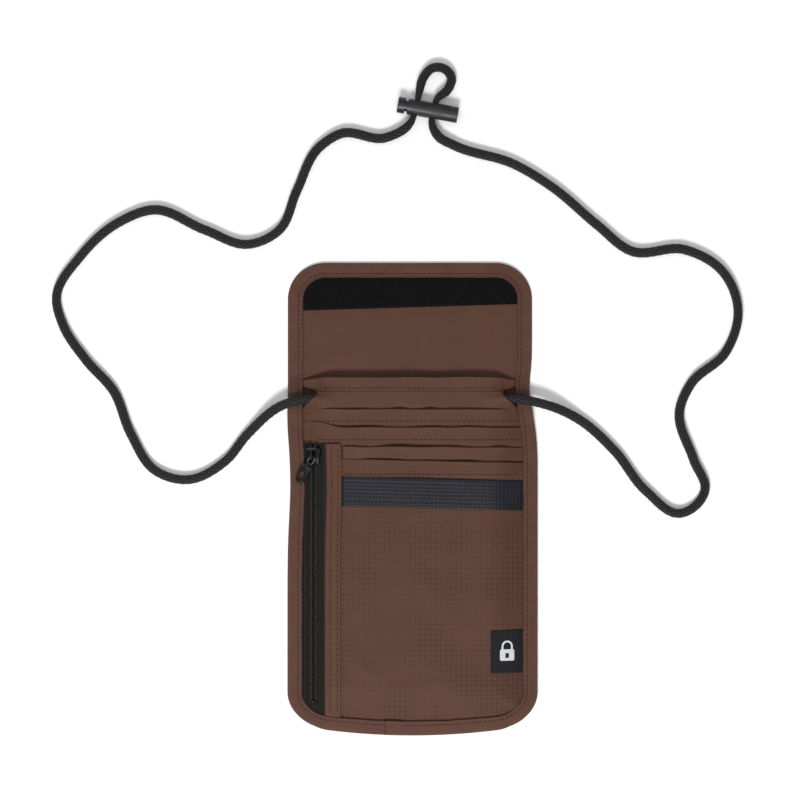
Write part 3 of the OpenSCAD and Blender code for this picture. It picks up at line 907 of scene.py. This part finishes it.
def make_hook_tape():
    """The hook tape with its woven border, and its rows of bent nylon hooks."""
    xs = np.linspace(FRONT_X + 0.1, SEAM_X + 0.6, 150)
    share = [0, 0.02, 0.06, 0.12, 0.2, 0.3, 0.4, 0.5, 0.6, 0.7, 0.8, 0.88, 0.94, 0.98, 1.0]
    x, t = grid(xs, share)
    slant = TAPE_SLANT * (x - 10)
    y = TAPE_LOW + slant * 1.1 + t * (TAPE_W + 0.25 * slant)
    base = height(x, y, FRONT, TAPE_UP)
    thick = 0.28 + 0.25 * ease((t - 0.1) / 0.08) * ease((1.0 - t) / 0.04)
    high = base + thick * softened(np.minimum(t, 1 - t), 0.02, 0.02)
    obj = slab("hook_tape_knit", *settle(x, y), base, high, "hook", (x, TAPE_W * t))
    attach(obj, "pouch", ["hook_tape"])
    parts = []
    rng = np.random.default_rng(21)
    row_step, hook_step = 1.45, 1.5
    for row, row_y in enumerate(np.arange(TAPE_LOW + 3.3, TAPE_LOW + 16.1, row_step)):
        back = row % 2
        for x in np.arange(FRONT_X + 1.2 + 0.7 * back, SEAM_X - 0.4, hook_step):
            y = row_y + TAPE_SLANT * (x - 10)
            foot = laid(x, y, height(x, y, FRONT, TAPE_UP) + 0.45)
            turn = rng.uniform(-0.35, 0.35) + math.pi * back
            c, s = math.cos(turn), math.sin(turn)
            path = [foot + (a * s, a * c, h)
                    for a, h in ((0, 0), (0.02, 0.3), (0.12, 0.6), (0.32, 0.66), (0.46, 0.45))]
            parts.append(tube_part(path, [0.13, 0.11, 0.1, 0.09, 0.05], 4, up=(c, -s, 0)))
    attach(joined("hook_tape_hooks", parts, "hook_nylon"), "pouch")


def make_placket():
    """The folded strip over the seam beside the zip."""
    ends = np.array([0, 0.03, 0.15])
    middle = np.linspace(PLACKET_X + 0.4, FRONT_X - 0.4, 14)
    xs = np.concatenate([PLACKET_X + ends, middle, FRONT_X - ends[::-1]])
    x, y = grid(xs, rows(ZIP_TOP, [], 1.5))
    y = follow_end(x, y)
    base = stacked(x, y, PLACKET_UP)
    puff = 0.5 + 0.16 * bell((x + 42.4) / 1.6) + 0.06 * np.sin(y / 3.1) * np.sin(y / 7.7)
    for seam in PLACKET_SEAMS:
        puff = puff - 0.1 * bell((x - seam) / 0.5) - 0.05 * np.sin(y * 2.6) * bell(x - seam)
    high = base + puff * softened(np.minimum(x - PLACKET_X, FRONT_X - x), 0.25, 0.01)
    obj = sewn_slab("zip_placket_cloth", x, y, *rolled(base, high, y, ZIP_TOP, 0.3), "hem")
    attach(obj, "pouch", ["zip_placket"])


# ---- back cloth and lining
def narrowing(y):
    """How far the sides are drawn in, towards the narrower flap."""
    return (BODY_X - FLAP_X) * ease((y - NARROW_Y) / 28)


def whole_grid(step):
    """A grid over the whole open footprint, drawn in from its edge."""
    half, end, knee = PANEL_X, END_Y - SEAM_IN, 95
    u = np.linspace(-1, 1, int(2 * half / step))
    u = 0.35 * np.sin(u * math.pi / 2) + 0.65 * u
    bend = np.linspace(FOLD_Y - 6, FLAP_Y + 3, 26)
    ys = np.sort(np.concatenate([np.linspace(-end, end, int(2 * END_Y / step)), bend]))
    u, y = grid(u, ys)
    x = u * (half - narrowing(y))
    y = follow_end(x, y)
    high = round_end(x, FLAP_X, FLAP_R, SEAM_IN)
    return x, np.where(y > knee, knee + (y - knee) / (end - knee) * (high - knee), y)


def sag(x, y):
    """Low waves in the flap, all upwards, and flat under the loop tape and the liners' edges."""
    near_edge = np.minimum(FLAP_X - np.abs(x), END_Y - y)
    free = ease((near_edge - 8.5) / 10) * (1 - ease((y - 97) / 6)) * ease((y - 62) / 10)
    pull = 0.5 * bell(((y - 74) - 0.35 * (x + 45)) / 5) * bell((x + 44) / 15)
    return np.maximum(free * (0.32 + 0.6 * ripple(x, y, FLAP_WAVES) + pull), 0)


def make_back():
    """The outer back cloth and the lining, each in one piece from end to end."""
    x, y = whole_grid(2.6)
    dimple = (0.08 + 0.5 * ripple(x, y, FINE)) * ease((to_edge(x, np.minimum(y, 50)) - 9) / 6)
    low = 0.32 + 0.12 * np.clip(dimple, 0, 1)
    back = sewn_slab("back_cloth", x, y, low, 0.78 + 0 * x, "ripstop")
    attach(back, "fold", ["back_panel", "flap_panel", "fold_strip"])
    x, y = whole_grid(1.9)
    squeeze, lift = np.where(y < FOLD_Y, pinch(x, y), 1.0), sag(x, y)
    lining = sewn_slab("lining_cloth", x, y, 1.02 * squeeze + lift, 1.4 * squeeze + lift, "lining")
    attach(lining, "fold", ["back_lining", "flap_lining"])


# ---- edge binding
def outline(step):
    """The outer edge, once round from the binding's joint: points, inward directions, distances."""
    def arc(cx, cy, r, a0, a1):
        a = np.radians(np.linspace(a0, a1, int(r * math.radians(a1 - a0) / 0.5) + 1))
        return np.stack([cx + r * np.cos(a), cy + r * np.sin(a)], 1)

    def side(sign, y0, y1):
        y = np.linspace(y0, y1, 340)
        return np.stack([sign * (BODY_X - narrowing(y)), y], 1)

    bx, by = BODY_X - BODY_R, -END_Y + BODY_R
    tx, ty = FLAP_X - FLAP_R, END_Y - FLAP_R
    joint = [BINDING_JOINT_X, -END_Y]
    p = np.concatenate([
        [joint, [bx, -END_Y]], arc(bx, by, BODY_R, -90, 0), side(1, by, ty),
        arc(tx, ty, FLAP_R, 0, 90), [[tx, END_Y], [-tx, END_Y]], arc(-tx, ty, FLAP_R, 90, 180),
        side(-1, ty, by), arc(-bx, by, BODY_R, 180, 270), [[-bx, -END_Y], joint],
    ])
    p = p[np.concatenate([[True], np.linalg.norm(np.diff(p, axis=0), axis=1) > 1e-6])]
    p, s = even(p, step)
    p = p[:-1]
    d = unit(np.roll(p, -1, 0) - np.roll(p, 1, 0))
    return p, np.stack([-d[:, 1], d[:, 0]], 1), s[:-1]


def binding_top(y):
    """Height of the binding at its inner and outer edge."""
    near_cord = ease((y - 40) / 8) * (1 - ease((y - 57) / 8))
    on_flap = ease((y - 56) / 13)
    inner, outer = 4.8 + 0.5 * near_cord, 3.5 + 1.7 * near_cord
    return inner + (1.97 - inner) * on_flap, outer + (1.8 - outer) * on_flap


def binding_profile(s, y, depth):
    """Upper face of the binding at a depth inwards from the outer edge."""
    inner, outer = binding_top(y)
    slope = outer + (inner - outer) * ease((depth - 0.6) / 7.4)
    puff = 0.18 * bell((depth - 3.2) / 1.9)
    held = 0.14 * bell((depth - STITCH_IN) / 0.55)
    held = held * (0.6 + 0.4 * np.cos(2 * math.pi * s / STITCH_STEP))
    soft = 0.1 * np.sin(s / 5.3 + 1.7 * np.sin(s / 17)) * bell((depth - 3.5) / 3)
    return slope + puff - held + soft + 0.22 * ease((depth - 7.1) / 0.7)


def make_binding():
    """One length of tape wrapped round the whole edge. Its start lies over its end."""
    p, inward, s = outline(0.8)
    y = p[:, 1]
    middle = (binding_top(y)[1] + 0.05) / 2
    overlap = 0.6 * (s < 11) * (1 - ease((s - 8) / 3))
    wobble = 0.09 * np.sin(s / 3.7 + 2 * np.sin(s / 23)) + 0.04 * np.sin(s / 1.9)
    depths = [8.0, 7.9, 7.6, 7.0, 6.3, 5.75, 5.2, 4.4, 3.4, 2.4, 1.6, 1.0]
    bends = np.radians(np.linspace(75, -75, 7))
    points, cuts = [], []

    def add(depth, z, across):
        d = depth + wobble * ease((depth - 6) / 2)
        points.append(laid(p[:, 0] + inward[:, 0] * d, y + inward[:, 1] * d, z))
        cuts.append(np.stack([s, across + 0 * s], 1))

    for d in depths:
        add(d, binding_profile(s, y, d) + overlap, d - 0.6)
    for a in bends:
        z = middle + (middle - 0.02) * math.sin(a) + overlap * (0.5 + 0.5 * math.sin(a))
        add(1.0 - 0.98 * math.cos(a), z, math.sin(a) * 0.4)
    for d in depths[::-1]:
        add(d, 0.02 + 0.1 * bell((d - STITCH_IN) / 0.5), 0.6 - d)
    for d in depths:
        add(d - 0.01, 0.34, 0.6 - d)
    for a in bends[::-1]:
        z = np.maximum(middle + (middle - 0.42) * math.sin(a), 0.36)
        add(1.35 - 0.95 * math.cos(a), z, math.sin(a) * 0.4)
    for d in depths[::-1]:
        add(d - 0.01, binding_profile(s, y, d) + overlap - 0.36, d - 0.6)
    rings, uv = np.stack(points, 1), np.stack(cuts, 1)
    faces = ring_faces(*rings.shape[:2], closed=True)
    obj = piece("edge_binding", rings.reshape(-1, 3), faces, uv.reshape(-1, 2), "binding")
    attach(obj, "fold", ["body_binding", "flap_binding", "fold_binding"])


# ---- stitches
def stitch(a, b, normal, r):
    """One stitch: a short thread that dips into the cloth at both ends."""
    share = np.array([0, 0.12, 0.35, 0.65, 0.88, 1.0])
    rise = r * np.array([-0.9, 0.1, 0.75, 0.75, 0.1, -0.9])
    path = a + share[:, None] * (b - a) + rise[:, None] * np.array(normal, float)
    side = np.cross(b - a, normal)
    return tube_part(path, r * np.array([0.6, 0.95, 1, 1, 0.95, 0.6]), 6, up=np.cross(side, b - a))


def stitch_row(points, pitch, gap, r, normal=(0, 0, 1)):
    """Stitches along a line of points that lie on the cloth."""
    path, s = even(points, 0.1)
    found = []
    for start in np.arange(pitch * 0.3, s[-1] - pitch, pitch):
        a, b = points_at(path, s, (start, start + pitch - gap))
        found.append(stitch(a, b, normal, r))
    return found


def make_stitches():
    """The rows along the hems, the placket, the binding and the hook tape."""
    across = np.linspace(0.5 - SEAM_X, SEAM_X - 0.2, 400)
    front = np.linspace(FRONT_X + 1, SEAM_X - 0.2, 400)
    pocket = []
    for layer, x, up_hem, above in (
        (CARD_1, across, 2.1, 2.75), (CARD_2, across[across > -52], 1.9, 3.2),
        (FRONT, front, 1.4 - 0.006 * front, 4.14),
    ):
        y = HEM_LOW[layer] + up_hem
        pocket += stitch_row(laid(x, y, height(x, y, layer, above)), 2.6, 0.8, 0.19)
    y = np.linspace(-117, 29, 500)
    for x in PLACKET_SEAMS:
        pocket += stitch_row(laid(x, y, stacked(x, y, PLACKET_UP) + 0.42), 2.8, 0.9, 0.21)
    attach(joined("pocket_stitches", pocket, "brown_thread"), "pouch")

    x = np.linspace(-47.5, 47.5, 400)
    y = HEM_LOW[MAIN] + 2.6 + 0.1 * along_line(x, 2)
    edge = stitch_row(laid(x, y, height(x, y, MAIN, 2.3)), 2.5, 0.7, 0.19)
    p, inward, s = outline(0.4)
    q = p + inward * STITCH_IN
    for z, up in ((binding_profile(s, p[:, 1], STITCH_IN) + 0.06, 1), (0.1, -1)):
        edge += stitch_row(laid(q[:, 0], q[:, 1], z), STITCH_STEP, 0.9, 0.2, (0, 0, up))
    attach(joined("edge_stitches", edge, "brown_thread"), "fold")

    black = []
    for offset in (-2.3, 10.9):
        y = offset + TAPE_SLANT * (front - 10)
        black += stitch_row(laid(front, y, height(front, y, FRONT, TAPE_UP) + 0.5), 2.3, 0.6, 0.2)
    attach(joined("hook_tape_stitches", black, "black_thread"), "pouch")


# ---- loop tape
LOOP_X = FLAP_X - BIND_W - 0.2


def loop_low(x):
    return LOOP_LOW + 0.03 * x


def loop_high(x):
    """Upper end of the loop tape, which follows the flap's corners inside the binding."""
    return np.minimum(round_end(x, FLAP_X, FLAP_R, BIND_W + 0.2, 0.01), 119.6)


def make_loop_tape():
    """The loop tape: a knitted ground with a brushed, uneven pile."""
    xs = np.linspace(-LOOP_X, LOOP_X, 260)
    share = np.concatenate([[0, 0.004, 0.012], np.linspace(0.03, 0.97, 40), [0.988, 0.996, 1.0]])
    x, t = grid(xs, share)
    y = loop_low(x) + t * (loop_high(x) - loop_low(x))
    rng = np.random.default_rng(8)
    rough = 0.16 * rng.standard_normal(x.shape) + 0.12 * ripple(x, y, PILE_WAVES)
    side = np.minimum(np.minimum(t, 1 - t) * 15, LOOP_X - np.abs(x))
    high = 1.42 + np.clip(0.82 + rough, 0.5, 1.14) * softened(side, 0.5, 0.02)
    obj = sewn_slab("loop_tape_pile", x, y, 1.41 + 0 * x, high, "loop")
    attach(obj, "flap", ["loop_tape"])
    parts = []
    for _ in range(LOOP_COUNT):
        u, w = rng.uniform(0.8 - LOOP_X, LOOP_X - 0.8), rng.uniform(0.02, 0.98)
        px, py = settle(u, loop_low(u) + w * (loop_high(u) - loop_low(u)))
        turn = rng.uniform(0, 2 * math.pi)
        c, s = math.cos(turn) * rng.uniform(0.25, 0.6), math.sin(turn) * rng.uniform(0.25, 0.6)
        path = [(px + k * c, py + k * s, z)
                for k, z in ((-1, 1.95), (-0.6, 2.45), (0, 2.58), (0.6, 2.4), (1, 1.95))]
        parts.append(tube_part(path, 0.06, 4, up=(math.sin(turn), -math.cos(turn), 0.01)))
    attach(joined("loop_tape_loops", parts, "loop"), "flap")
    x = np.linspace(0.6 - LOOP_X, LOOP_X - 0.6, 300)
    row = stitch_row(laid(x, loop_low(x) + 1.1, 2.5), 2.4, 0.7, 0.17)
    attach(joined("loop_tape_stitches", row, "black_thread"), "flap")


# ---- zip
def zip_frame(points):
    """From the zip's own frame, x across it and z off the tape, to the shared frame."""
    points = np.asarray(points, float)
    c, s = math.cos(ZIP_A), math.sin(ZIP_A)
    x, y, z = points[..., 0], points[..., 1], points[..., 2]
    return np.stack([ZIP_X + x * c - z * s, y, ZIP_Z + x * s + z * c], -1)


def parted(y):
    """How far each row stands off the middle: the rows part above the slider."""
    return 0.32 + 0.4 * ease((y - 20) / 5)


def make_zip():
    """Two woven tapes, and on each a row of nylon coil whose turns meet in the middle."""
    share = [0, 0.01, 0.04, 0.1, 0.2, 0.35, 0.5, 0.65, 0.8, 0.92, 1.0]
    for side, name, outer in ((-1, "left", -PANEL_X), (1, "right", -40.0)):
        u, y = grid(share, rows(ZIP_TOP, [], 2.0))
        inner = ZIP_X + side * (parted(y) - 0.2) * math.cos(ZIP_A)
        x = inner + u * (outer - inner)
        y = follow_end(x, y)
        aside = np.abs(x - ZIP_X)
        slope = BULGE * (SEAM_X - np.abs(x)) / SLOPE
        end = ease((-105 + 11 * ease((aside - 4.3) / 1.5) - y) / 8)
        slope = slope + (bulge(x, y) - slope) * np.maximum(ease((aside - 6) / 2.5), end)
        low, high = (slope + above * pinch(x, y) for above in ZIP_TAPE_UP)
        sewn_x, sewn_y = settle(x, y)
        held = np.maximum(ease((aside - 4.5) / 4), ease((-109 - y) / 5))
        obj = slab("zip_tape_cloth_" + name, x + (sewn_x - x) * held, y + (sewn_y - y) * held,
                   *rolled(low, high, y, ZIP_TOP, 0.2), "zip", (x, y))
        attach(obj, "pouch", ["zip_tape_" + name])
        make_coil(side, name)


def make_coil(side, name):
    """One row of coil, turn by turn, with the cord that runs through it and its sewing thread."""
    pitch, r, top = 1.25, 0.3, 27.6
    turn = [(1.9, 0.02, 0.45), (1.6, 0.0, 0.32), (0.7, -0.06, 0.36), (0.28, -0.1, 0.5),
            (0.16, -0.02, 0.86), (0.3, 0.08, 1.22), (0.8, 0.14, 1.32), (1.55, 0.3, 1.3),
            (1.9, 0.5, 1.12)]
    radii = [0.22, r, r, r, 0.34, r, r, r, 0.22]
    parts = []
    for y in np.arange(ZIP_LOW + 0.4 + (0 if side < 0 else pitch / 2), top, pitch):
        near = float(parted(y))
        path = zip_frame([(side * (near + a), y + b, c) for a, b, c in turn])
        parts.append(tube_part(path, radii, 8, up=(0, 1, 0.01)))
    y = np.linspace(ZIP_LOW, 28, 90)
    core = zip_frame(np.stack([side * (parted(y) + 1.1), y, 0.84 + 0 * y], -1))
    parts.append(tube_part(core, 0.33, 8))
    obj = joined("zip_coil_turns_" + name, parts, "coil")
    attach(obj, "pouch", ["zip_coil_" + name])
    y = np.linspace(ZIP_LOW + 1, top, 500)
    seam = []
    for off, z in ((1.35, 1.66), (2.7, 0.14)):
        line = zip_frame(np.stack([side * (parted(y) + off), y, z + 0 * y], -1))
        seam += stitch_row(line, 1.9, 0.5, 0.13, (-math.sin(ZIP_A), 0, math.cos(ZIP_A)))
    attach(joined("zip_seam_" + name, seam, "black_thread"), "pouch")


# ---- label
def make_label():
    """A small woven label sewn into the side seam, with a plain padlock worked in pale thread."""
    left, low, tall = 41.9, -93.4, 23.7
    near = left + np.array([0, 0.05, 0.2])
    xs = np.concatenate([near, np.linspace(left + 0.6, SEAM_X + 1.8, 24)])
    share = np.concatenate([[0, 0.004, 0.015], np.linspace(0.04, 0.96, 24), [0.985, 0.996, 1.0]])
    x, t = grid(xs, share)
    y = low + t * (tall - 0.045 * (59.5 - x) * t)
    base = height(x, y, FRONT, LABEL_UP)
    side = np.minimum(np.minimum(x - left, t * tall), (1 - t) * tall)
    curl = 0.25 * np.exp(-(x - left) / 2.5)
    high = base + 0.36 * softened(side, 0.2, 0.02) + curl
    obj = sewn_slab("side_label_cloth", x, y, base + 0.7 * curl, high, "label")
    attach(obj, "pouch", ["side_label"])
    cx, cy = 50.9, -81.8
    parts = []

    def work(x, y):
        """A raised line of thread, its points given from the middle of the mark."""
        x, y = cx + np.array(x, float), cy + np.array(y, float)
        parts.append(tube_part(laid(x, y, height(x, y, FRONT, LABEL_UP) + 0.4), 0.27, 6))

    for row in np.linspace(-4.6, 1.0, 12):
        half = 3.9 if -4.2 < row < 0.6 else 3.6
        keyhole = -3.1 < row < -0.6
        for a, b in [(-half, -0.95), (0.95, half)] if keyhole else [(-half, half)]:
            work(np.linspace(a, b, 8), [row] * 8)
    a = np.radians(np.linspace(0, 180, 15))
    for r in (2.3, 2.75):
        work([r, r, *(r * np.cos(a)), -r, -r], [1.2, 2.2, *(3.0 + r * np.sin(a)), 2.2, 1.2])
    attach(joined("side_label_mark", parts, "mark"), "pouch")


# ---- slider, pull and lock
def outline_prism(shape, low, high, edge):
    """A plate with that outline, its edges rounded: points, quads and end triangles."""
    shape = np.asarray(shape, float)
    centre = shape.mean(0)
    n = len(shape)
    reach = np.linalg.norm(shape - centre, axis=1)[:, None]
    levels = [(low, edge), (low + 0.3 * edge, 0.35 * edge), (low + edge, 0), (high - edge, 0),
              (high - 0.3 * edge, 0.35 * edge), (high, edge)]
    rings = [np.insert(centre + (shape - centre) * (1 - inset / reach), 2, z, axis=1)
             for z, inset in levels]
    points = np.concatenate(rings + [[[*centre, low], [*centre, high]]])
    first = len(levels) * n
    i = np.arange(n)
    j = (i + 1) % n
    lower = np.stack([j, i, np.full(n, first)], -1)
    upper = np.stack([first - n + i, first - n + j, np.full(n, first + 1)], -1)
    return points, ring_faces(len(levels), n), np.concatenate([lower, upper])


def boat(w, l, waist):
    """Outline of a slider plate: broad shoulders at its upper end, narrower at its lower end."""
    nose = w * 0.82
    half = [(0.0, l), (w * 0.55, l), (w * 0.86, l - 0.35), (w, l - 1.1), (w, l - 2.4), (waist, 0.1),
            (waist, -l * 0.35), (nose, -l + 1.0), (nose * 0.8, -l + 0.25), (nose * 0.45, -l)]
    return half + [(-x, y) for x, y in half[::-1][:-1]]


def make_slider():
    """The slider's plates, the walls between which the coil runs, and the wedge that parts it."""
    wall = np.array([(4.35, 3.2), (4.35, 1.6), (3.9, -0.2), (3.75, -2.2), (3.55, -4.1), (3.0, -4.1),
                     (3.1, -2.2), (3.2, -0.2), (3.55, 1.6), (3.55, 3.2)])
    wedge = [(0.04, 4.3), (0.05, 3.2), (0.04, 2.3), (-0.04, 2.3), (-0.05, 3.2), (-0.04, 4.3)]
    parts, fans, first = [], [], 0
    for shape, low, high, edge in (
        (boat(4.4, 4.6, 3.9), 1.75, 2.6, 0.32), (boat(4.1, 4.5, 3.7), -0.98, -0.32, 0.2),
        (wall * (-1, 1), 0.5, 1.9, 0.08), (wall, 0.5, 1.9, 0.08), (wedge, -0.4, 1.85, 0.02),
    ):
        points, quads, fan = outline_prism(shape, low, high, edge)
        parts.append((zip_frame(points + (0, SLIDER_Y, 0)), quads, points[:, :2]))
        fans += (fan + first).tolist()
        first += len(points)
    obj = joined("slider_casting", parts, "casting", fans)
    fix_normals(obj)
    soften(obj, 0.12)
    attach(obj, "slider", ["slider_body"])


def fix_normals(obj):
    """Turns every face of a piece outwards."""
    work = bmesh.new()
    work.from_mesh(obj.data)
    bmesh.ops.recalc_face_normals(work, faces=work.faces)
    work.to_mesh(obj.data)
    work.free()


def soften(obj, width):
    """Rounds the sharp edges of a piece."""
    bevel = obj.modifiers.new("rounded_edges", "BEVEL")
    bevel.width = width * MM
    bevel.segments = 3
    bevel.limit_method = "ANGLE"
    bevel.angle_limit = math.radians(32)
    bevel.harden_normals = False


def squeeze_spring():
    """The spring shortens, towards the closed end of the barrel, as the button is pressed; here it
    only gets a mesh of its own, and its point furthest along the lock's axis is found.
    """
    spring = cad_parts["lock_spring"]
    axis = lock_point(1) - lock_point(0)
    spots = np.array([spring.matrix_world @ v.co for v in spring.data.vertices])
    along = spots @ axis
    fixed = spots[along.argmax()].tolist()
    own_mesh(spring)


def dress_nodes():
    """Materials and rounded edges for the CAD nodes that show."""
    for node, kind, width in (
        ("back_rfid_liner", "foil", 0), ("flap_rfid_liner", "foil", 0),
        ("zip_top_stops", "plated", 0.25), ("zip_bottom_stop", "plated", 0.3),
        ("slider_crown", "plated", 0.22), ("pull_link", "plated", 0), ("pull_tab", "plated", 0.2),
        ("lock_barrel", "lock", 0.5), ("lock_plunger", "lock", 0.75), ("lock_spring", "steel", 0),
    ):
        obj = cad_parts[node]
        obj.data.materials.clear()
        obj.data.materials.append(MATERIAL[kind])
        if width:
            soften(obj, width)


set_camera()
make_cord()
set_lights()
make_floor()
make_back()
make_main_panel()
make_pocket_panels()
make_placket()
make_hook_tape()
make_binding()
make_stitches()
make_loop_tape()
make_zip()
make_label()
make_slider()
dress_nodes()
squeeze_spring()
